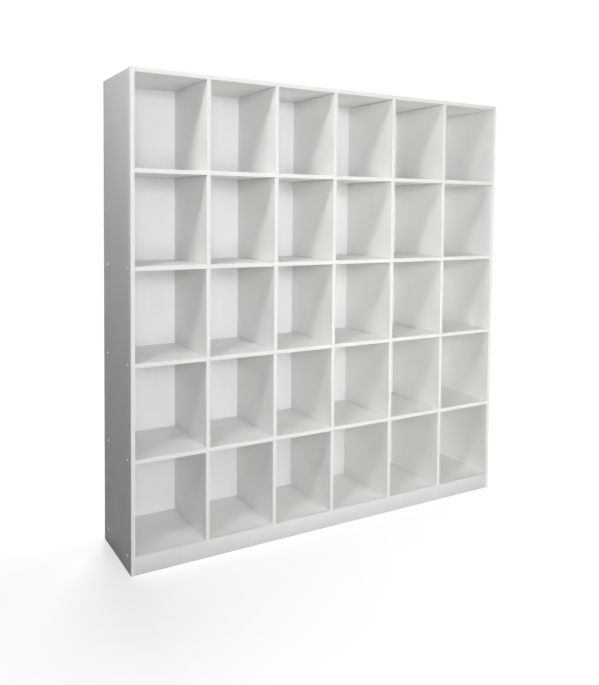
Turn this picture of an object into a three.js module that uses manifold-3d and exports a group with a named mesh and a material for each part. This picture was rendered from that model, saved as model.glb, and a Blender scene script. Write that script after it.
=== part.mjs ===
// Open-fronted pigeonhole sorter in white faced board: six bays wide, five rows high.
// Millimetres, +Z up, front towards -Y, origin under the middle of the floor outline.
import * as THREE from 'three';
import { mergeVertices } from 'three/addons/utils/BufferGeometryUtils.js';
import Module from 'manifold-3d';

const wasm = await Module();
wasm.setup();

// Overall size
const WIDTH = 1800;
const DEPTH = 356;
const HEIGHT = 1865;

// Clear bay widths, left to right: they share out the room between the side panels
const BAY_1 = 281;
const BAY_2 = 279;
const BAY_3 = 264;
const BAY_4 = 290;
const BAY_5 = 277;
const BAY_6 = 297;

// Clear row heights, top to bottom: they share out the room between the top and the bottom panel
const ROW_1 = 345;
const ROW_2 = 341;
const ROW_3 = 341;
const ROW_4 = 341;
const ROW_5 = 347;

// Board thicknesses
const SIDE_T = 16;
const TOP_T = 16;
const SHELF_T = 16;
const BOTTOM_T = 16;
const DIVIDER_T = 16;
const KICK_T = 16;
const BACK_T = 6;

// Plinth height and the lip of side board behind the back panel
const KICK_H = 70;
const REAR_LIP = 8;

// Joints: play between boards, housing depth, front shoulder and kickboard tongue
const JOINT_GAP = 0.3;
const HOUSING_DEPTH = 4;
const SHOULDER = 8;
const BACK_GROOVE = 5;
const TONGUE_T = 6;
const TONGUE_INSET = 10;

// Countersunk assembly screws through the side panels
const SCREW_FRONT = 45;
const SCREW_REAR = 303;
const SCREW_LENGTH = 50;
const SCREW_HEAD_R = 4.6;
const SCREW_HEAD_H = 3;
const SCREW_SHANK_R = 2.5;
const SCREW_TIP_H = 3;
const SCREW_TIP_R = 1.4;
const DRIVE_LENGTH = 4.4;
const DRIVE_WIDTH = 0.9;
const DRIVE_DEPTH = 1.8;
const ROUND_STEPS = 12;
const CUT_PAST = 2;
const SAME_POINT = 1e-4;

// Clear widths or heights that fill a room with boards of one thickness between them
function shareOut(parts, span, boardT) {
  const room = span - (parts.length - 1) * boardT;
  const sum = parts.reduce((total, part) => total + part, 0);
  return parts.map((part) => room * part / sum);
}

// Sizes that follow from the values above
const INNER_W = WIDTH - 2 * SIDE_T;
const TOP_UNDERSIDE = HEIGHT - TOP_T;
const BAYS = shareOut([BAY_1, BAY_2, BAY_3, BAY_4, BAY_5, BAY_6], INNER_W, DIVIDER_T);
const ROWS = shareOut([ROW_1, ROW_2, ROW_3, ROW_4, ROW_5], TOP_UNDERSIDE - KICK_H, SHELF_T);
const CLEAR_DEPTH = DEPTH - BACK_T - REAR_LIP;
const INNER_X = INNER_W / 2;
const FRONT_Y = -DEPTH / 2;
const REAR_Y = DEPTH / 2;
const BACK_FACE_Y = FRONT_Y + CLEAR_DEPTH;
const BACK_REAR_Y = BACK_FACE_Y + BACK_T;
const HOUSING_FRONT_Y = FRONT_Y + KICK_T + SHOULDER;
const BOTTOM_UNDERSIDE = KICK_H - BOTTOM_T;

// Left face of each divider
const dividerX = [];
let reach = -INNER_X;
for (const bay of BAYS.slice(0, -1)) {
  reach += bay;
  dividerX.push(reach);
  reach += DIVIDER_T;
}

// Ceiling of each row, from the top down
const ceilings = [];
let ceiling = TOP_UNDERSIDE;
for (const row of ROWS) {
  ceilings.push(ceiling);
  ceiling -= row + SHELF_T;
}

// Finishes
const facedBoard = { color: 0xf3f3f0, roughness: 0.45, metalness: 0 };
const backBoard = { color: 0xf4f4f2, roughness: 0.5, metalness: 0 };
const screwSteel = { color: 0xdcdcd9, roughness: 0.35, metalness: 0.9 };

const sorter = new THREE.Group();
sorter.name = 'pigeonhole_sorter';

// Block given by its low and high corners
function block(low, high) {
  const geometry = new THREE.BoxGeometry(high[0] - low[0], high[1] - low[1], high[2] - low[2]);
  geometry.translate((low[0] + high[0]) / 2, (low[1] + high[1]) / 2, (low[2] + high[2]) / 2);
  return geometry;
}

// Closed body from a surface, without the slivers on a turning axis
function body(geometry) {
  const bare = new THREE.BufferGeometry();
  bare.setAttribute('position', geometry.getAttribute('position').clone());
  if (geometry.index) {
    bare.setIndex(geometry.index.clone());
  }
  const joined = mergeVertices(bare, SAME_POINT);
  const corners = joined.index.array;
  const kept = [];
  for (let i = 0; i < corners.length; i += 3) {
    const [a, b, c] = [corners[i], corners[i + 1], corners[i + 2]];
    if (a !== b && b !== c && c !== a) {
      kept.push(a, b, c);
    }
  }
  const mesh = new wasm.Mesh({
    numProp: 3,
    vertProperties: new Float32Array(joined.getAttribute('position').array),
    triVerts: new Uint32Array(kept),
  });
  return new wasm.Manifold(mesh);
}

// Surface of a closed body with flat facets
function surface(solid) {
  const mesh = solid.getMesh();
  const geometry = new THREE.BufferGeometry();
  geometry.setAttribute('position', new THREE.BufferAttribute(new Float32Array(mesh.vertProperties), 3));
  geometry.setIndex(new THREE.BufferAttribute(new Uint32Array(mesh.triVerts), 1));
  const flat = geometry.toNonIndexed();
  flat.computeVertexNormals();
  return flat;
}

// Board with blocks added to it and shapes cut out of it
function shaped(base, added, removed) {
  let solid = body(base);
  for (const extra of added) {
    solid = solid.add(body(extra));
  }
  for (const tool of removed) {
    solid = solid.subtract(body(tool));
  }
  return surface(solid);
}

// Named sub-part at its place
function put(name, geometry, finish, place) {
  const mesh = new THREE.Mesh(geometry, new THREE.MeshStandardMaterial(finish));
  mesh.name = name;
  mesh.position.set(place[0], place[1], place[2]);
  sorter.add(mesh);
  return mesh;
}

// Round shape about the screw line, which runs along +X from the head face
function turned(outline) {
  const points = outline.map(([radius, along]) => new THREE.Vector2(radius, along));
  const geometry = new THREE.LatheGeometry(points, ROUND_STEPS);
  geometry.rotateZ(-Math.PI / 2);
  return geometry;
}

// Screw with a countersunk head, a blunt tip and a cross drive
function screwShape() {
  const blank = turned([
    [0, 0],
    [SCREW_HEAD_R, 0],
    [SCREW_SHANK_R, SCREW_HEAD_H],
    [SCREW_SHANK_R, SCREW_LENGTH - SCREW_TIP_H],
    [SCREW_TIP_R, SCREW_LENGTH],
    [0, SCREW_LENGTH],
  ]);
  const slot = (across, up) => block(
    [-CUT_PAST, -across / 2, -up / 2],
    [DRIVE_DEPTH, across / 2, up / 2],
  );
  return shaped(blank, [], [slot(DRIVE_LENGTH, DRIVE_WIDTH), slot(DRIVE_WIDTH, DRIVE_LENGTH)]);
}

// Hole for one screw, right through the side and on into the board end
function screwHole(side, y, z) {
  const hole = turned([
    [0, -CUT_PAST],
    [SCREW_HEAD_R + JOINT_GAP, -CUT_PAST],
    [SCREW_HEAD_R + JOINT_GAP, 0],
    [SCREW_SHANK_R + JOINT_GAP, SCREW_HEAD_H],
    [SCREW_SHANK_R + JOINT_GAP, SCREW_LENGTH + JOINT_GAP],
    [0, SCREW_LENGTH + JOINT_GAP],
  ]);
  if (side > 0) {
    hole.rotateZ(Math.PI);
  }
  hole.translate(side * WIDTH / 2, y, z);
  return hole;
}

// Boards that lie between the sides, from the top down: name and height of the mid-plane
const levels = [['top', TOP_UNDERSIDE + TOP_T / 2]];
ceilings.slice(1).forEach((underside, i) => {
  levels.push([`shelf_${i + 1}`, underside + SHELF_T / 2]);
});
levels.push(['bottom', KICK_H - BOTTOM_T / 2]);
const screwRows = [['front', FRONT_Y + SCREW_FRONT], ['rear', FRONT_Y + SCREW_REAR]];

// Side panel: screw holes, groove for the back, pockets for the kickboard tongues
function sidePanel(side) {
  const outer = side * WIDTH / 2;
  const inner = side * INNER_X;
  const span = (a, b) => [Math.min(a, b), Math.max(a, b)];
  const pocket = (depth, y0, y1, z0, z1) => {
    const [x0, x1] = span(inner - side * CUT_PAST, inner + side * depth);
    return block([x0, y0, z0], [x1, y1, z1]);
  };
  const tools = [];
  for (const [, z] of levels) {
    for (const [, y] of screwRows) {
      tools.push(screwHole(side, y, z));
    }
  }
  tools.push(pocket(BACK_GROOVE, BACK_FACE_Y - JOINT_GAP, BACK_REAR_Y + JOINT_GAP,
    KICK_H - BACK_GROOVE, TOP_UNDERSIDE + BACK_GROOVE));
  for (const [tongueY, kickTop] of [[frontTongueY, KICK_H], [rearTongueY, rearKickTop]]) {
    tools.push(pocket(HOUSING_DEPTH, tongueY - JOINT_GAP, tongueY + TONGUE_T + JOINT_GAP,
      TONGUE_INSET - JOINT_GAP, kickTop - TONGUE_INSET + JOINT_GAP));
  }
  const [x0, x1] = span(outer, inner);
  const panel = shaped(block([x0, FRONT_Y, 0], [x1, REAR_Y, HEIGHT]), [], tools);
  panel.translate(-(outer + inner) / 2, 0, -HEIGHT / 2);
  return panel;
}

// Board between the sides with stopped housings for the dividers and holes in its ends
function lyingBoard(z0, z1, y0, y1, housingAbove, housingBelow, grooveAbove, grooveBelow) {
  const tools = [];
  const housing = (x, low, high) => block(
    [x - JOINT_GAP, HOUSING_FRONT_Y, low],
    [x + DIVIDER_T + JOINT_GAP, BACK_FACE_Y + JOINT_GAP, high],
  );
  const groove = (low, high) => block(
    [-WIDTH, BACK_FACE_Y - JOINT_GAP, low],
    [WIDTH, BACK_REAR_Y + JOINT_GAP, high],
  );
  for (const x of dividerX) {
    if (housingAbove) {
      tools.push(housing(x, z1 - HOUSING_DEPTH, z1 + CUT_PAST));
    }
    if (housingBelow) {
      tools.push(housing(x, z0 - CUT_PAST, z0 + HOUSING_DEPTH));
    }
  }
  if (grooveAbove) {
    tools.push(groove(z1 - BACK_GROOVE, z1 + CUT_PAST));
  }
  if (grooveBelow) {
    tools.push(groove(z0 - CUT_PAST, z0 + BACK_GROOVE));
  }
  for (const side of [-1, 1]) {
    for (const [, y] of screwRows) {
      tools.push(screwHole(side, y, (z0 + z1) / 2));
    }
  }
  const end = INNER_X - JOINT_GAP;
  const board = shaped(block([-end, y0, z0], [end, y1, z1]), [], tools);
  board.translate(0, 0, -(z0 + z1) / 2);
  return board;
}

// Kickboard with a stub tongue at each end
function kickboard(y0, z1, tongueY) {
  const end = INNER_X - JOINT_GAP;
  const tip = INNER_X + HOUSING_DEPTH - JOINT_GAP;
  const tongues = block(
    [-tip, tongueY, TONGUE_INSET],
    [tip, tongueY + TONGUE_T, z1 - TONGUE_INSET],
  );
  const board = shaped(block([-end, y0, 0], [end, y0 + KICK_T, z1]), [tongues], []);
  board.translate(0, -y0 - KICK_T / 2, -z1 / 2);
  return board;
}

// Divider with tongues above and below that stop short of the front edge
function divider(rowClear) {
  const half = rowClear / 2 - JOINT_GAP;
  const tall = rowClear / 2 + HOUSING_DEPTH - JOINT_GAP;
  const step = HOUSING_FRONT_Y + JOINT_GAP;
  const rear = BACK_FACE_Y - JOINT_GAP;
  const outline = new THREE.Shape();
  outline.moveTo(FRONT_Y, -half);
  outline.lineTo(step, -half);
  outline.lineTo(step, -tall);
  outline.lineTo(rear, -tall);
  outline.lineTo(rear, tall);
  outline.lineTo(step, tall);
  outline.lineTo(step, half);
  outline.lineTo(FRONT_Y, half);
  outline.closePath();
  const slab = new THREE.ExtrudeGeometry(outline, { depth: DIVIDER_T, bevelEnabled: false });
  const turn = new THREE.Matrix4().makeBasis(
    new THREE.Vector3(0, 1, 0),
    new THREE.Vector3(0, 0, 1),
    new THREE.Vector3(1, 0, 0),
  );
  slab.applyMatrix4(turn);
  slab.translate(-DIVIDER_T / 2, 0, 0);
  return surface(body(slab));
}

// Kickboards under the bottom panel
const rearKickTop = BOTTOM_UNDERSIDE - JOINT_GAP;
const rearKickY = BACK_FACE_Y - KICK_T;
const frontTongueY = FRONT_Y + (KICK_T - TONGUE_T) / 2;
const rearTongueY = rearKickY + (KICK_T - TONGUE_T) / 2;
put('front_kickboard', kickboard(FRONT_Y, KICK_H, frontTongueY), facedBoard,
  [0, FRONT_Y + KICK_T / 2, KICK_H / 2]);
put('rear_kickboard', kickboard(rearKickY, rearKickTop, rearTongueY), facedBoard,
  [0, rearKickY + KICK_T / 2, rearKickTop / 2]);

// Side panels
const sideMidX = (WIDTH - SIDE_T) / 2;
put('left_side_panel', sidePanel(-1), facedBoard, [-sideMidX, 0, HEIGHT / 2]);
put('right_side_panel', sidePanel(1), facedBoard, [sideMidX, 0, HEIGHT / 2]);

// Top, bottom and shelves
const shelfRear = BACK_FACE_Y - JOINT_GAP;
const bottomFront = FRONT_Y + KICK_T + JOINT_GAP;
const topBoard = lyingBoard(TOP_UNDERSIDE, HEIGHT, FRONT_Y, REAR_Y, false, true, false, true);
const bottomBoard = lyingBoard(BOTTOM_UNDERSIDE, KICK_H, bottomFront, REAR_Y, true, false, true, false);
const shelfBoard = lyingBoard(-SHELF_T / 2, SHELF_T / 2, FRONT_Y, shelfRear, true, true, false, false);
for (const [name, z] of levels) {
  const boards = { top: topBoard, bottom: bottomBoard };
  const label = boards[name] ? `${name}_panel` : name;
  put(label, boards[name] ?? shelfBoard, facedBoard, [0, 0, z]);
}

// Dividers, row by row from the top and left to right
ROWS.forEach((rowClear, row) => {
  const dividerBoard = divider(rowClear);
  const z = ceilings[row] - rowClear / 2;
  dividerX.forEach((x, i) => {
    put(`divider_r${row + 1}_${i + 1}`, dividerBoard, facedBoard, [x + DIVIDER_T / 2, 0, z]);
  });
});

// Back panel held in grooves on all four sides
const backReachX = INNER_X + BACK_GROOVE - JOINT_GAP;
const backLow = KICK_H - BACK_GROOVE + JOINT_GAP;
const backHigh = TOP_UNDERSIDE + BACK_GROOVE - JOINT_GAP;
put('back_panel', new THREE.BoxGeometry(2 * backReachX, BACK_T, backHigh - backLow), backBoard,
  [0, (BACK_FACE_Y + BACK_REAR_Y) / 2, (backLow + backHigh) / 2]);

// Assembly screws, head flush with the outer face
const screw = screwShape();
for (const [side, hand] of [[-1, 'left'], [1, 'right']]) {
  for (const [name, z] of levels) {
    for (const [row, y] of screwRows) {
      const mesh = put(`screw_${hand}_${name}_${row}`, screw, screwSteel, [side * WIDTH / 2, y, z]);
      mesh.rotation.z = side < 0 ? 0 : Math.PI;
    }
  }
}

export default sorter;
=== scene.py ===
"""Pigeonhole mail sorter: white faced boards with edged fronts and flush screws.

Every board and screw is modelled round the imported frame, in metres, where its node lies.
"""
import math

import bpy
from mathutils import Matrix, Vector


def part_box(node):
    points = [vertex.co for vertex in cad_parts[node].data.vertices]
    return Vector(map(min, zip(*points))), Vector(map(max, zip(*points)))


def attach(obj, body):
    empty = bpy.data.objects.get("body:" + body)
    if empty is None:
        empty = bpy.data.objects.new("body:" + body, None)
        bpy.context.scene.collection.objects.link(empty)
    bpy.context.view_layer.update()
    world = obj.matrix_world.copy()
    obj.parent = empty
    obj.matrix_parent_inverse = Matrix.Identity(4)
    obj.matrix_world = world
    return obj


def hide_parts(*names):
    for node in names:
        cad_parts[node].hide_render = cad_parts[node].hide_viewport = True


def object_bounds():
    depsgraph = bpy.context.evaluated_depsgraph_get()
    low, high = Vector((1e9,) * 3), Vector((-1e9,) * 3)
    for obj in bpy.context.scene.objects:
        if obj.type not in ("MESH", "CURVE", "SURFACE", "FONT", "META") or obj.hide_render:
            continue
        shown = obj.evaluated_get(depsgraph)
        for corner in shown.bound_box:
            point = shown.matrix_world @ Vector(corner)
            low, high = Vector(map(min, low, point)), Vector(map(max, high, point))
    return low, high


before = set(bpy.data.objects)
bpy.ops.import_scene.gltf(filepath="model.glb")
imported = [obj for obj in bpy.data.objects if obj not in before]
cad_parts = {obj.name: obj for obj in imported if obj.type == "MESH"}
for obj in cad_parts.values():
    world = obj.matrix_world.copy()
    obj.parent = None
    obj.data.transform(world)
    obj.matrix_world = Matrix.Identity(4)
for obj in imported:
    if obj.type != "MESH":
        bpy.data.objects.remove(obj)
cad_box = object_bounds()

MM = 0.001
BODY = "root"
WHITE = (1.0, 1.0, 1.0)
BLACK = (0.0, 0.0, 0.0)
AXIS_X = 0
AXIS_Z = 2

# Boards: edging strips, eased edges and the joint lines round each divider
EDGING_T = 1.0 * MM
EDGING_ROUND = 0.6 * MM
EDGING_STEPS = 3
GLUE_LINE = 0.12 * MM
BOARD_EASE = 0.3 * MM
BOARD_STEPS = 2
DIVIDER_HEAD_GAP = 0.8 * MM
DIVIDER_FOOT_GAP = 0.3 * MM
DIVIDER_BACK_GAP = 0.8 * MM
SMOOTH_ANGLE = math.radians(30)

# Assembly screws and their countersunk holes
HEAD_H = 3.0 * MM
SHANK_R = 2.5 * MM
TIP_R = 1.4 * MM
TIP_H = 3.0 * MM
RIM_H = 0.25 * MM
RIM_STEP = 0.25 * MM
DRIVE_LENGTH = 4.4 * MM
DRIVE_WIDTH = 0.9 * MM
DRIVE_DEPTH = 1.8 * MM
HOLE_PLAY = 0.15 * MM
CUT_PAST = 2.0 * MM
ROUND_STEPS = 32

# Pressed face: fine stipple, upright pores, long faint figure, slow clouds; scales are per metre
STIPPLE_SCALE = 900.0
STIPPLE_SHARE = 0.65
PORE_SCALE = 420.0
PORE_STRETCH = (1.0, 1.0, 0.08)
FIGURE_SCALE = 60.0
FIGURE_STRETCH = (1.0, 1.0, 0.06)
CLOUD_SCALE = 3.2
TONE_LOW = 0.3
TONE_HIGH = 0.7
FACE_RELIEF = 0.08 * MM
BOARD_SHEEN = 0.06

# Marks of use: scuffs that thicken towards the floor, thin scratches, rubbed patches
FLOOR_REACH = 0.35
SCUFFS_ABOVE = 0.12
SCUFF_SCALE = 26.0
SCUFF_STRETCH = (1.0, 1.0, 2.5)
SCRATCH_SCALE = 34.0
SCRATCH_STRETCH = (6.0, 6.0, 0.35)
SCRATCH_SHARE = 0.25
RUB_SCALE = 11.0
RUB_DULLING = 0.10
MARK_DULLING = 0.15

# Plated steel of the screws
STEEL_BRIGHT = (0.92, 0.92, 0.91)
STEEL_RUBBED = (0.82, 0.82, 0.80)
STEEL_METALLIC = 0.9
STEEL_ROUGHNESS = 0.12
GRAIN_SCALE = 2600.0
GRAIN_DULLING = 0.14
GRAIN_STRENGTH = 0.2
GRAIN_RELIEF = 0.03 * MM

# The photograph's frame and viewpoint
IMAGE_W = 599
IMAGE_H = 685
SENSOR = 36.0
FOCAL_PX = 714.9
AXIS_PX = (290.98, 244.72)
CAMERA_YAW = math.radians(29.92)
CAMERA_PITCH = math.radians(2.711)
CAMERA_ROLL = math.radians(0.511)
CAMERA_AT = Vector((-1.684, -2.7001, 1.355))
QUARTER_TURN = math.pi / 2

# Lamps: name, place, what it faces, size across, size down, watts, spread in degrees, colour
LAMPS = [
    ("upper_left_key", (-2.6, -1.75, 4.3), (-0.2, -0.1, 1.6), 0.6, 0.6, 5.2, 60, (1.0, 0.99, 0.97)),
    ("left_end_wash", (-1.9, -0.5, 2.6), (-0.9, 0.0, 1.6), 0.5, 0.5, 6.5, 180, (1.0, 1.0, 0.96)),
    ("upper_front", (0.6, -3.0, 3.2), (0.35, 0.0, 0.3), 2.4, 0.8, 2.7, 60, (0.98, 0.99, 1.0)),
    ("main_front", (-1.85, -4.6, 1.9), (0.2, 0.0, 0.9), 2.0, 1.1, 77.0, 180, (0.985, 1.0, 1.0)),
    ("lower_front", (-1.0, -4.0, 0.75), (0.2, 0.0, 0.5), 0.9, 1.2, 28.0, 180, (0.95, 0.985, 1.0)),
    ("right_bays", (-1.7, -3.2, 2.2), (0.7, 0.0, 1.5), 0.8, 0.8, 1.25, 50, (1.0, 1.0, 0.98)),
    ("floor_bounce", (0.9, -2.4, 0.2), (0.4, 0.0, 2.0), 1.6, 0.5, 28.0, 180, (1.0, 0.94, 0.85)),
    ("rear_fill", (0.7, 4.2, 2.4), (0.0, 0.0, 0.8), 2.4, 2.2, 145.0, 180, WHITE),
    ("right_fill", (4.0, 1.1, 2.2), (0.9, 0.0, 0.9), 2.0, 2.0, 55.0, 180, WHITE),
]

# Floor: how it looks near the sorter, and how far out it has faded to white
FLOOR_SIZE = 60.0
FLOOR_SHADE = 0.08
FLOOR_SEEN = 0.9
FLOOR_LIFT = 0.42
FLOOR_ROUGHNESS = 0.9
FLOOR_SHEEN = 0.1
SHADOW_NEAR = 0.1
SHADOW_FAR = 1.1

# Sockets of the Mix node when it mixes colours
MIX_FACTOR = 0
MIX_FIRST = 6
MIX_SECOND = 7
MIX_RESULT = 2


def node_names(prefix):
    """Frame nodes whose name starts with a prefix, in order."""
    return sorted(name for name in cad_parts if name.startswith(prefix))


def start_fresh():
    """Leave nothing selected before a new piece is started."""
    if bpy.context.object and bpy.context.object.mode != "OBJECT":
        bpy.ops.object.mode_set(mode="OBJECT")
    bpy.ops.object.select_all(action="DESELECT")


def pick(piece):
    """Make one piece the selected and active one."""
    start_fresh()
    piece.select_set(True)
    bpy.context.view_layer.objects.active = piece


def name_piece(piece, name):
    """Give a piece and its mesh the same name."""
    piece.name = name
    piece.data.name = name


def block(name, low, high):
    """Rectangular block between two corners, its place kept in its mesh."""
    start_fresh()
    centre = (low + high) / 2
    bpy.ops.mesh.primitive_cube_add(size=1.0, location=centre)
    piece = bpy.context.object
    bpy.ops.object.mode_set(mode="EDIT")
    bpy.ops.mesh.select_all(action="SELECT")
    bpy.ops.transform.resize(value=high - low, center_override=centre)
    bpy.ops.object.mode_set(mode="OBJECT")
    bpy.ops.object.transform_apply(location=True, rotation=True, scale=True)
    name_piece(piece, name)
    return piece


def round_edges(piece, radius, steps, wanted):
    """Round the edges whose two end points pass the test."""
    pick(piece)
    mesh = piece.data
    for polygon in mesh.polygons:
        polygon.select = False
    for vertex in mesh.vertices:
        vertex.select = False
    for edge in mesh.edges:
        a, b = (mesh.vertices[i].co for i in edge.vertices)
        edge.select = wanted(a, b)
    bpy.context.tool_settings.mesh_select_mode = (False, True, False)
    bpy.ops.object.mode_set(mode="EDIT")
    bpy.ops.mesh.bevel(offset=radius, segments=steps, profile=0.5, affect="EDGES")
    bpy.ops.object.mode_set(mode="OBJECT")


def every_edge(_a, _b):
    """The test that all edges pass."""
    return True


def smooth(piece):
    """Smooth shading, with the edges that turn more than SMOOTH_ANGLE kept crisp."""
    pick(piece)
    bpy.ops.object.shade_smooth_by_angle(angle=SMOOTH_ANGLE)


def copy_piece(piece, name, move):
    """Copy with its own mesh, carried to its place."""
    twin = piece.copy()
    twin.data = piece.data.copy()
    bpy.context.scene.collection.objects.link(twin)
    twin.data.transform(move)
    name_piece(twin, name)
    return twin


def discard(piece):
    """Take away a form that was only modelled to be copied or to cut."""
    mesh = piece.data
    bpy.data.objects.remove(piece)
    bpy.data.meshes.remove(mesh)


def cut(piece, tool):
    """Cut one form out of a piece and put the tool away."""
    pick(piece)
    change = piece.modifiers.new("cut", "BOOLEAN")
    change.operation = "DIFFERENCE"
    change.solver = "EXACT"
    change.object = tool
    bpy.ops.object.modifier_apply(modifier=change.name)
    discard(tool)


def fit_piece(piece, material, slot, *stands_for):
    """Finish and body of a modelled piece, and the nodes that it stands for; the slot name is not used.
    """
    piece.data.materials.clear()
    piece.data.materials.append(material)
    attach(piece, BODY)
    if stands_for:
        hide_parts(*stands_for)


# Where the boards lie, read from the frame
left_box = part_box("left_side_panel")
right_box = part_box("right_side_panel")
level_names = ["top_panel"] + node_names("shelf_") + ["bottom_panel"]
level_boxes = [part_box(name) for name in level_names]
JOINT_GAP = right_box[0].x - level_boxes[0][1].x
INNER_LEFT = left_box[1].x + JOINT_GAP
INNER_RIGHT = right_box[0].x - JOINT_GAP


def clipped(box, low_x=None, high_x=None, low_z=None, high_z=None):
    """A node's box without the tongues that lie hidden in its neighbours."""
    low, high = box[0].copy(), box[1].copy()
    low.x = low.x if low_x is None else max(low.x, low_x)
    high.x = high.x if high_x is None else min(high.x, high_x)
    low.z = low.z if low_z is None else max(low.z, low_z)
    high.z = high.z if high_z is None else min(high.z, high_z)
    return low, high


def plain_board(name, low, high):
    """Board with its arrises just taken off."""
    piece = block(name, low, high)
    round_edges(piece, BOARD_EASE, BOARD_STEPS, every_edge)
    smooth(piece)
    return piece


def board_core(name, low, high):
    """Board behind its front edging."""
    return plain_board(name, Vector((low.x, low.y + EDGING_T + GLUE_LINE, low.z)), high)


def edging_strip(name, low, high, wanted):
    """Edging strip with its outer long corners rounded over."""
    strip = block(name, low, high)
    round_edges(strip, EDGING_ROUND, EDGING_STEPS, wanted)
    smooth(strip)
    return strip


def front_edging(name, low, high):
    """Strip glued along a board's front edge."""
    upright = high.z - low.z > high.x - low.x
    run = AXIS_Z if upright else AXIS_X

    def along_front(a, b):
        in_front = max(a.y, b.y) < low.y + EDGING_T / 2
        return in_front and abs(a[run] - b[run]) > EDGING_T

    return edging_strip(name, low, Vector((high.x, low.y + EDGING_T, high.z)), along_front)


def top_edging(name, low, high):
    """Strip glued along a kickboard's top edge."""
    def along_top(a, b):
        on_top = min(a.z, b.z) > high.z - EDGING_T / 2
        return on_top and abs(a.x - b.x) > EDGING_T

    return edging_strip(name, Vector((low.x, low.y, high.z - EDGING_T)), high, along_top)


def turned_form(name, rings):
    """Round form along +X, drawn out from ring to ring; a ring is a radius and its place along X."""
    start_fresh()
    first_r, first_at = rings[0]
    bpy.ops.mesh.primitive_circle_add(
        vertices=ROUND_STEPS, radius=first_r, fill_type="NGON", location=(0, 0, first_at))
    form = bpy.context.object
    bpy.ops.object.transform_apply(location=True, rotation=True, scale=True)
    bpy.ops.object.mode_set(mode="EDIT")
    bpy.ops.mesh.select_all(action="SELECT")
    for (was_r, was_at), (radius, at) in zip(rings, rings[1:]):
        bpy.ops.mesh.extrude_region_move(TRANSFORM_OT_translate={"value": (0, 0, at - was_at)})
        grow = radius / was_r
        bpy.ops.transform.resize(value=(grow, grow, 1.0), center_override=(0, 0, at))
    bpy.ops.mesh.select_all(action="SELECT")
    bpy.ops.mesh.normals_make_consistent(inside=False)
    bpy.ops.object.mode_set(mode="OBJECT")
    form.data.transform(Matrix.Rotation(QUARTER_TURN, 4, "Y"))
    name_piece(form, name)
    return form


def screw_form(length, head_r):
    """Countersunk screw with a cross drive, its head face at the origin and its shank along +X."""
    screw = turned_form("screw_form", [
        (head_r - RIM_STEP, 0.0),
        (head_r, RIM_H),
        (SHANK_R, HEAD_H),
        (SHANK_R, length - TIP_H),
        (TIP_R, length),
    ])
    half_l, half_w = DRIVE_LENGTH / 2, DRIVE_WIDTH / 2
    for half_y, half_z in ((half_l, half_w), (half_w, half_l)):
        low = Vector((-CUT_PAST, -half_y, -half_z))
        high = Vector((DRIVE_DEPTH, half_y, half_z))
        cut(screw, block("drive_cut", low, high))
    smooth(screw)
    return screw


def screw_hole_form(length, head_r):
    """Countersunk hole with a little play all round the screw."""
    return turned_form("screw_hole", [
        (head_r + HOLE_PLAY, -CUT_PAST),
        (head_r + HOLE_PLAY, RIM_H),
        (SHANK_R + HOLE_PLAY, HEAD_H + HOLE_PLAY),
        (SHANK_R + HOLE_PLAY, length),
    ])


def screw_size(node):
    """Length and head radius of a screw node."""
    low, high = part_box(node)
    return high.x - low.x, (high.z - low.z) / 2


def screw_place(node):
    """Move that brings a screw form to its node, with its shank pointing inwards."""
    low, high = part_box(node)
    left = low.x < 0
    head = Vector((low.x if left else high.x, (low.y + high.y) / 2, (low.z + high.z) / 2))
    return Matrix.Translation(head) @ Matrix.Rotation(0.0 if left else math.pi, 4, "Z")


# Finishes: their helpers, two shared groups, and the materials
def new_group(name, inputs, outputs):
    """Shader group with named sockets; returns the group with its input and output nodes."""
    group = bpy.data.node_groups.new(name, "ShaderNodeTree")
    for label, kind, value in inputs:
        socket = group.interface.new_socket(name=label, in_out="INPUT", socket_type=kind)
        if value is not None:
            socket.default_value = value
    for label, kind in outputs:
        group.interface.new_socket(name=label, in_out="OUTPUT", socket_type=kind)
    return group, group.nodes.new("NodeGroupInput"), group.nodes.new("NodeGroupOutput")


def stretched(tree, vector, scale):
    """A vector scaled along each axis, so that a pattern on it runs long or short."""
    node = tree.nodes.new("ShaderNodeMapping")
    node.inputs["Scale"].default_value = scale
    tree.links.new(vector, node.inputs["Vector"])
    return node.outputs["Vector"]


def noise(tree, vector, scale, detail, roughness, stretch=None):
    """Noise mask on a vector, run long or short along the axes where a stretch is given."""
    if stretch:
        vector = stretched(tree, vector, stretch)
    node = tree.nodes.new("ShaderNodeTexNoise")
    node.inputs["Scale"].default_value = scale
    node.inputs["Detail"].default_value = detail
    node.inputs["Roughness"].default_value = roughness
    tree.links.new(vector, node.inputs["Vector"])
    return node.outputs["Fac"]


def remap(tree, value, low, high, to_low=0.0, to_high=1.0):
    """A smooth step of a value from one range to another."""
    node = tree.nodes.new("ShaderNodeMapRange")
    node.interpolation_type = "SMOOTHSTEP"
    node.inputs["From Min"].default_value = low
    node.inputs["From Max"].default_value = high
    node.inputs["To Min"].default_value = to_low
    node.inputs["To Max"].default_value = to_high
    tree.links.new(value, node.inputs["Value"])
    return node.outputs["Result"]


def arithmetic(tree, operation, a, b):
    """Sum, product or the like of two values, each a number or a socket."""
    node = tree.nodes.new("ShaderNodeMath")
    node.operation = operation
    for socket, value in zip(node.inputs, (a, b)):
        if isinstance(value, (int, float)):
            socket.default_value = value
        else:
            tree.links.new(value, socket)
    return node.outputs["Value"]


def raised(tree, base, mask, share):
    """A value raised by a share of a mask."""
    return arithmetic(tree, "ADD", base, arithmetic(tree, "MULTIPLY", mask, share))


def shared(tree, first, second, share):
    """A share of one mask and the rest of another."""
    rest = arithmetic(tree, "MULTIPLY", second, 1.0 - share)
    return raised(tree, rest, first, share)


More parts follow.
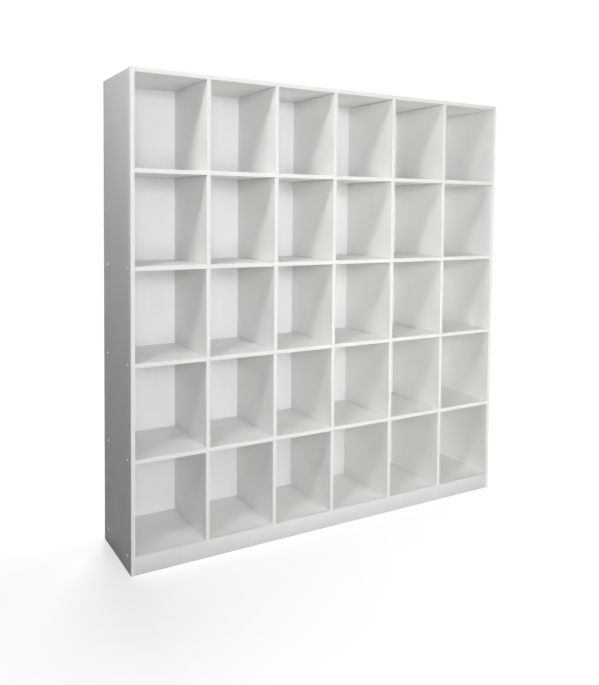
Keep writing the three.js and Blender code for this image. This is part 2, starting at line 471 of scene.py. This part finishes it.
def blend_colour(tree, factor, first, second):
    """Mix of two colours, each given as a colour or as a socket."""
    node = tree.nodes.new("ShaderNodeMix")
    node.data_type = "RGBA"
    tree.links.new(factor, node.inputs[MIX_FACTOR])
    for place, value in ((MIX_FIRST, first), (MIX_SECOND, second)):
        if isinstance(value, tuple):
            node.inputs[place].default_value = (*value, 1.0)
        else:
            tree.links.new(value, node.inputs[place])
    return node.outputs[MIX_RESULT]


def face_texture_group():
    """Pressed face of white board: fine stipple, long faint figure and slow cloudiness."""
    group, start, end = new_group(
        "pressed_face",
        [("Vector", "NodeSocketVector", None)],
        [("Height", "NodeSocketFloat"), ("Figure", "NodeSocketFloat"), ("Cloud", "NodeSocketFloat")],
    )
    place = start.outputs["Vector"]
    stipple = noise(group, place, STIPPLE_SCALE, detail=2.0, roughness=0.6)
    pores = noise(group, place, PORE_SCALE, detail=3.0, roughness=0.55, stretch=PORE_STRETCH)
    figure = noise(group, place, FIGURE_SCALE, detail=4.0, roughness=0.6, stretch=FIGURE_STRETCH)
    cloud = noise(group, place, CLOUD_SCALE, detail=3.0, roughness=0.55)
    group.links.new(shared(group, stipple, pores, STIPPLE_SHARE), end.inputs["Height"])
    group.links.new(remap(group, figure, TONE_LOW, TONE_HIGH), end.inputs["Figure"])
    group.links.new(remap(group, cloud, TONE_LOW, TONE_HIGH), end.inputs["Cloud"])
    return group


def handling_group():
    """Marks of use: rubbed patches, thin scratches, and scuffs that thicken towards the floor."""
    group, start, end = new_group(
        "handling_marks",
        [("Vector", "NodeSocketVector", None), ("Floor Reach", "NodeSocketFloat", FLOOR_REACH)],
        [("Marks", "NodeSocketFloat"), ("Rub", "NodeSocketFloat")],
    )
    place = start.outputs["Vector"]
    split = group.nodes.new("ShaderNodeSeparateXYZ")
    group.links.new(place, split.inputs["Vector"])
    near_floor = arithmetic(group, "DIVIDE", split.outputs["Z"], start.outputs["Floor Reach"])
    floor_mask = remap(group, near_floor, low=0.0, high=1.0, to_low=1.0, to_high=SCUFFS_ABOVE)
    scuff = noise(group, place, SCUFF_SCALE, detail=5.0, roughness=0.65, stretch=SCUFF_STRETCH)
    scuffs = arithmetic(group, "MULTIPLY", remap(group, scuff, low=0.58, high=0.78), floor_mask)
    scratch = noise(group, place, SCRATCH_SCALE, detail=2.0, roughness=0.5, stretch=SCRATCH_STRETCH)
    scratches = arithmetic(group, "MULTIPLY", remap(group, scratch, low=0.69, high=0.74), SCRATCH_SHARE)
    rub = noise(group, place, RUB_SCALE, detail=3.0, roughness=0.6)
    group.links.new(arithmetic(group, "MAXIMUM", scuffs, scratches), end.inputs["Marks"])
    group.links.new(remap(group, rub, low=0.35, high=0.75), end.inputs["Rub"])
    return group


face_texture = face_texture_group()
handling = handling_group()


def place_group(tree, group, vector):
    """A shader group placed in a material."""
    node = tree.nodes.new("ShaderNodeGroup")
    node.node_tree = group
    tree.links.new(vector, node.inputs["Vector"])
    return node


def new_material(name):
    """Material with its node tree, its shader and its Object coordinates."""
    material = bpy.data.materials.new(name)
    material.use_nodes = True
    tree = material.node_tree
    shader = tree.nodes["Principled BSDF"]
    place = tree.nodes.new("ShaderNodeTexCoord").outputs["Object"]
    return material, tree, shader, place


def raise_bump(tree, shader, height, strength, distance):
    """Fine relief on a shader."""
    bump = tree.nodes.new("ShaderNodeBump")
    bump.inputs["Strength"].default_value = strength
    bump.inputs["Distance"].default_value = distance
    tree.links.new(height, bump.inputs["Height"])
    tree.links.new(bump.outputs["Normal"], shader.inputs["Normal"])


def faced_board(name, pale, deep, mark, roughness, figure_share, mark_share, bump):
    """White faced board: faint upright figure, cloudy tone, marks of use and pressed stipple."""
    material, tree, shader, place = new_material(name)
    face = place_group(tree, face_texture, place)
    use = place_group(tree, handling, place)
    tone = shared(tree, face.outputs["Figure"], face.outputs["Cloud"], figure_share)
    ground = blend_colour(tree, tone, pale, deep)
    stained = arithmetic(tree, "MULTIPLY", use.outputs["Marks"], mark_share)
    tree.links.new(blend_colour(tree, stained, ground, mark), shader.inputs["Base Color"])
    dull = raised(tree, roughness, use.outputs["Rub"], RUB_DULLING)
    dull = raised(tree, dull, use.outputs["Marks"], MARK_DULLING)
    tree.links.new(dull, shader.inputs["Roughness"])
    shader.inputs["Specular IOR Level"].default_value = BOARD_SHEEN
    raise_bump(tree, shader, face.outputs["Height"], bump, FACE_RELIEF)
    return material


def screw_metal(name):
    """Bright plated steel with a fine grain and rubbed patches."""
    material, tree, shader, place = new_material(name)
    use = place_group(tree, handling, place)
    grain = noise(tree, place, GRAIN_SCALE, detail=2.0, roughness=0.5)
    colour = blend_colour(tree, use.outputs["Rub"], STEEL_BRIGHT, STEEL_RUBBED)
    tree.links.new(colour, shader.inputs["Base Color"])
    tree.links.new(raised(tree, STEEL_ROUGHNESS, grain, GRAIN_DULLING), shader.inputs["Roughness"])
    shader.inputs["Metallic"].default_value = STEEL_METALLIC
    raise_bump(tree, shader, grain, GRAIN_STRENGTH, GRAIN_RELIEF)
    return material


white_board = faced_board(
    "white_faced_board", pale=(0.930, 0.932, 0.924), deep=(0.908, 0.909, 0.898), mark=(0.60, 0.59, 0.57),
    roughness=0.40, figure_share=0.45, mark_share=0.30, bump=0.22)
white_back = faced_board(
    "white_back_board", pale=(0.908, 0.909, 0.902), deep=(0.886, 0.887, 0.877), mark=(0.62, 0.61, 0.58),
    roughness=0.46, figure_share=0.65, mark_share=0.20, bump=0.18)
# Kickboard finish: a darker, cooler white than the boards above, painted shade for the dimmer light near
# the floor
plinth_painted_shade = faced_board(
    "plinth_board_painted_shade", pale=(0.800, 0.808, 0.822), deep=(0.776, 0.784, 0.797), mark=(0.56, 0.55, 0.53),
    roughness=0.42, figure_share=0.45, mark_share=0.32, bump=0.22)
# Edging finish: a greyer copy of the faced board, painted shade that holds the brightly lit front edges
# down
white_edging_painted_shade = faced_board(
    "white_edging_painted_shade", pale=(0.874, 0.875, 0.867), deep=(0.852, 0.852, 0.842), mark=(0.60, 0.59, 0.57),
    roughness=0.32, figure_share=0.35, mark_share=0.35, bump=0.10)
plated_steel = screw_metal("plated_steel")


def make_sides():
    """Side panels from floor to top, countersunk for the assembly screws, with edged fronts."""
    for hand, box in (("left", left_box), ("right", right_box)):
        node = f"{hand}_side_panel"
        panel = board_core(f"{node}_board", *box)
        screws = node_names(f"screw_{hand}_")
        hole = screw_hole_form(*screw_size(screws[0]))
        for screw in screws:
            cut(panel, copy_piece(hole, "screw_hole_cut", screw_place(screw)))
        discard(hole)
        smooth(panel)
        fit_piece(panel, white_board, "white_board", node)
        fit_piece(front_edging(f"{node}_edging", *box), white_edging_painted_shade, "white_board")


def make_levels():
    """Top and shelves with edged fronts, and the bottom panel behind the kickboard."""
    for name, box in zip(level_names, level_boxes):
        edged = name != "bottom_panel"
        make_board = board_core if edged else plain_board
        fit_piece(make_board(f"{name}_board", *box), white_board, "white_board", name)
        if edged:
            fit_piece(front_edging(f"{name}_edging", *box), white_edging_painted_shade, "white_board")


def make_dividers():
    """Short upright dividers: one board and one edging for each row, copied to every place in it."""
    for row, (above, below) in enumerate(zip(level_boxes, level_boxes[1:]), 1):
        nodes = node_names(f"divider_r{row}_")
        low, high = clipped(
            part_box(nodes[0]), low_z=below[1].z + JOINT_GAP, high_z=above[0].z - JOINT_GAP)
        core_low = low + Vector((0.0, 0.0, DIVIDER_FOOT_GAP))
        core_high = high - Vector((0.0, DIVIDER_BACK_GAP, DIVIDER_HEAD_GAP))
        core = board_core("divider_core", core_low, core_high)
        strip = front_edging("divider_strip", low, high)
        for node in nodes:
            move = Matrix.Translation((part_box(node)[0].x - low.x, 0.0, 0.0))
            fit_piece(copy_piece(core, f"{node}_board", move), white_board, "white_board", node)
            fit_piece(copy_piece(strip, f"{node}_edging", move), white_edging_painted_shade, "white_board")
        discard(core)
        discard(strip)


def make_kickboards():
    """Kickboards between the sides; the front one shows its top, which is edged."""
    for name in ("front_kickboard", "rear_kickboard"):
        low, high = clipped(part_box(name), low_x=INNER_LEFT, high_x=INNER_RIGHT)
        if name == "front_kickboard":
            fit_piece(top_edging(f"{name}_edging", low, high), white_board, "white_board")
            high.z -= EDGING_T + GLUE_LINE
        # The kickboard finish is darker than the other boards: painted shade near the floor
        fit_piece(plain_board(f"{name}_board", low, high), plinth_painted_shade, "white_board", name)


def make_back():
    """Thin back behind every bay, as far as it shows between the sides, the top and the bottom."""
    low, high = clipped(
        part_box("back_panel"), low_x=INNER_LEFT, high_x=INNER_RIGHT,
        low_z=level_boxes[-1][1].z + JOINT_GAP, high_z=level_boxes[0][0].z - JOINT_GAP)
    fit_piece(plain_board("back_panel_board", low, high), white_back, "back_board", "back_panel")


def make_screws():
    """Assembly screws, flush with the outer faces."""
    nodes = node_names("screw_")
    model = screw_form(*screw_size(nodes[0]))
    for node in nodes:
        screw = copy_piece(model, f"{node}_steel", screw_place(node))
        fit_piece(screw, plated_steel, "screw_steel", node)
    discard(model)


def seen_rays(tree):
    """1 for rays that the camera, a reflection or glass sends, 0 for the rest."""
    path = tree.nodes.new("ShaderNodeLightPath")
    seen = arithmetic(tree, "MAXIMUM", path.outputs["Is Camera Ray"], path.outputs["Is Glossy Ray"])
    return arithmetic(tree, "MAXIMUM", seen, path.outputs["Is Transmission Ray"])


def distance_from_footprint(tree, place):
    """How far a floor point lies outside the rectangle that the sorter stands on."""
    low, high = cad_box
    half = Vector(((high.x - low.x) / 2, (high.y - low.y) / 2, 0.0))
    value = place
    steps = [("ABSOLUTE", None), ("SUBTRACT", half), ("MAXIMUM", Vector()), ("LENGTH", None)]
    for operation, other in steps:
        node = tree.nodes.new("ShaderNodeVectorMath")
        node.operation = operation
        tree.links.new(value, node.inputs[0])
        if other is not None:
            node.inputs[1].default_value = other
        value = node.outputs["Value" if operation == "LENGTH" else "Vector"]
    return value


def pale_floor():
    """Floor that is pale near the sorter, where its shadow lies, and fades to white further out.

    Only the camera and reflections see it so: to other rays it is dark, and sends little light up.
    """
    material, tree, shader, place = new_material("pale_floor")
    shader.inputs["Roughness"].default_value = FLOOR_ROUGHNESS
    shader.inputs["Specular IOR Level"].default_value = FLOOR_SHEEN
    seen = seen_rays(tree)
    away = distance_from_footprint(tree, place)
    far = remap(tree, away, SHADOW_NEAR, SHADOW_FAR)
    pale = blend_colour(tree, far, (FLOOR_SEEN,) * 3, BLACK)
    tree.links.new(blend_colour(tree, seen, (FLOOR_SHADE,) * 3, pale), shader.inputs["Base Color"])
    shader.inputs["Emission Color"].default_value = (*WHITE, 1.0)
    lift = remap(tree, away, SHADOW_NEAR, SHADOW_FAR, FLOOR_LIFT, 1.0)
    tree.links.new(arithmetic(tree, "MULTIPLY", seen, lift), shader.inputs["Emission Strength"])
    return material


def make_floor():
    """Plain floor under the sorter."""
    start_fresh()
    bpy.ops.mesh.primitive_plane_add(size=FLOOR_SIZE, location=(0, 0, 0))
    floor = bpy.context.object
    name_piece(floor, "floor")
    floor.data.materials.append(pale_floor())


def hang_lamps():
    """Soft lamps round the sorter, unseen by the camera."""
    for name, place, target, across, down, watts, spread, colour in LAMPS:
        lamp = bpy.data.lights.new(name, "AREA")
        lamp.shape = "RECTANGLE"
        lamp.size = across
        lamp.size_y = down
        lamp.energy = watts
        lamp.spread = math.radians(spread)
        lamp.color = colour
        holder = bpy.data.objects.new(name, lamp)
        bpy.context.scene.collection.objects.link(holder)
        holder.visible_camera = False
        holder.location = place
        holder.rotation_euler = (Vector(target) - Vector(place)).to_track_quat("-Z", "Y").to_euler()


def set_surroundings():
    """Surroundings that are white to the camera and in reflections, and black to all other rays."""
    world = bpy.data.worlds.new("studio")
    bpy.context.scene.world = world
    world.use_nodes = True
    tree = world.node_tree
    background = tree.nodes["Background"]
    tree.links.new(blend_colour(tree, seen_rays(tree), BLACK, WHITE), background.inputs["Color"])


def set_camera():
    """Camera at the photograph's viewpoint, worked out from the board lines.

    The picture is taller than it is wide, so the sensor and the shifts go by its height.
    """
    sight = bpy.data.cameras.new("photo_view")
    sight.sensor_width = SENSOR
    sight.lens = FOCAL_PX * SENSOR / IMAGE_H
    sight.shift_x = (IMAGE_W / 2 - AXIS_PX[0]) / IMAGE_H
    sight.shift_y = (AXIS_PX[1] - IMAGE_H / 2) / IMAGE_H
    camera = bpy.data.objects.new("photo_view", sight)
    bpy.context.scene.collection.objects.link(camera)
    level = Matrix.Rotation(QUARTER_TURN, 4, "X")
    turn = Matrix.Rotation(-CAMERA_YAW, 4, "Z")
    tilt = Matrix.Rotation(-CAMERA_PITCH, 4, "X")
    roll = Matrix.Rotation(CAMERA_ROLL, 4, "Z")
    camera.matrix_world = Matrix.Translation(CAMERA_AT) @ turn @ level @ tilt @ roll
    bpy.context.scene.camera = camera


make_sides()
make_levels()
make_dividers()
make_kickboards()
make_back()
make_screws()
make_floor()
hang_lamps()
set_surroundings()
set_camera()
bpy.context.scene.view_settings.view_transform = "Standard"

start_fresh()
